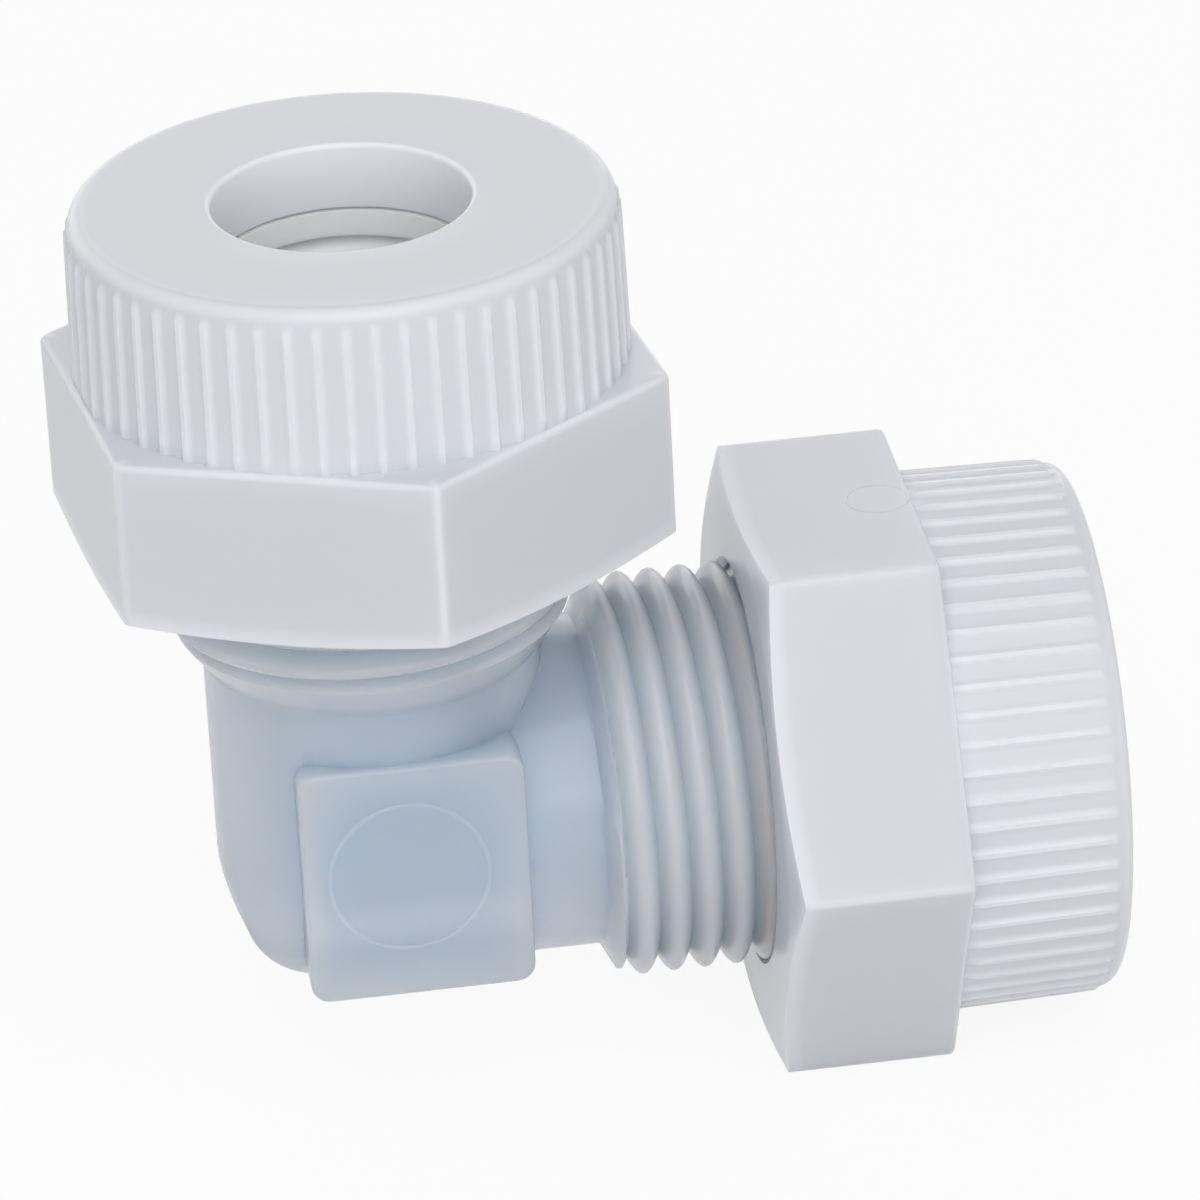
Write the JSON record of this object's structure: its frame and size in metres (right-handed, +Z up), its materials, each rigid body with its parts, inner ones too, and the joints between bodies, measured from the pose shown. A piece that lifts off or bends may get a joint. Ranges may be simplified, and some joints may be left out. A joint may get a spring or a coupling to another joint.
{
  "type": "union elbow",
  "caption": "Right-angle plastic tube union with a threaded elbow body, ribbed hexagon nuts and inner ferrules that seal and grip the tubes.",
  "frame": {"origin": "where the axes of the two legs cross, midway between the wrench pads", "axes": "+Z up along one leg, +X along the other leg, -Y to the front pad"},
  "size_m": [0.0524, 0.0328, 0.0485],
  "materials": {
    "body_plastic": "milky bluish translucent fluoropolymer, moulded satin",
    "nut_plastic": "opal white fluoropolymer, moulded satin",
    "ferrule_plastic": "white fluoropolymer, turned"
  },
  "bodies": {
    "body": {"elbow_body": "body_plastic"},
    "top_ferrules": {"top_front_ferrule": "ferrule_plastic", "top_back_ferrule": "ferrule_plastic"},
    "top_nut": {"top_nut": "nut_plastic"},
    "side_ferrules": {"side_front_ferrule": "ferrule_plastic", "side_back_ferrule": "ferrule_plastic"},
    "side_nut": {"side_nut": "nut_plastic"}
  },
  "joints": [
    {"name": "top_nut_travel", "type": "slide", "parent": "body", "child": "top_ferrules", "axis": [0, 0, 1], "range_m": [0, 0.00989]},
    {"name": "top_nut_turn", "type": "hinge", "parent": "top_ferrules", "child": "top_nut", "pos_m": [0, 0, 0], "axis": [0, 0, 1], "range_deg": [0, 2160]},
    {"name": "side_nut_travel", "type": "slide", "parent": "body", "child": "side_ferrules", "axis": [1, 0, 0], "range_m": [-0.00288, 0.00706]},
    {"name": "side_nut_turn", "type": "hinge", "parent": "side_ferrules", "child": "side_nut", "pos_m": [0, 0, 0], "axis": [1, 0, 0], "range_deg": [-622, 1538]}
  ],
  "couplings": [
    {"joint": "top_nut_travel", "follows": "top_nut_turn", "m_per_rad": 0.00026101},
    {"joint": "side_nut_travel", "follows": "side_nut_turn", "m_per_rad": 0.00026101}
  ]
}
